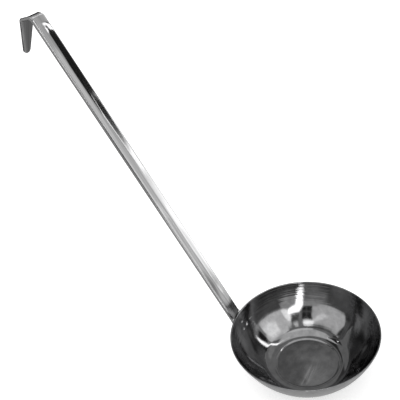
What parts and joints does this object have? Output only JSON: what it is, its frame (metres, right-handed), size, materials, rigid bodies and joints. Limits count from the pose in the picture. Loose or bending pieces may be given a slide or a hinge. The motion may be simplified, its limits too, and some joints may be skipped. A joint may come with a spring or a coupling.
{
  "type": "soup ladle",
  "caption": "Ladle with a deep round bowl and a long flat strip handle that ends in a turned-down hook for hanging.",
  "frame": {"origin": "centre of the flat underside of the bowl", "axes": "+Z along the bowl's axis towards its mouth; the handle leans out towards -X; Y runs across the handle strip"},
  "size_m": [0.2497, 0.1146, 0.2876],
  "materials": {
    "bowl_steel": "polished inside and out, with fine turned lines near the rim",
    "handle_steel": "fine satin brushed along the strip, bright rolled edges",
    "weld_metal": "fused steel, hidden between the sheets"
  },
  "bodies": {
    "root": {"bowl": "bowl_steel", "handle": "handle_steel", "spot_welds": "weld_metal"}
  },
  "joints": []
}
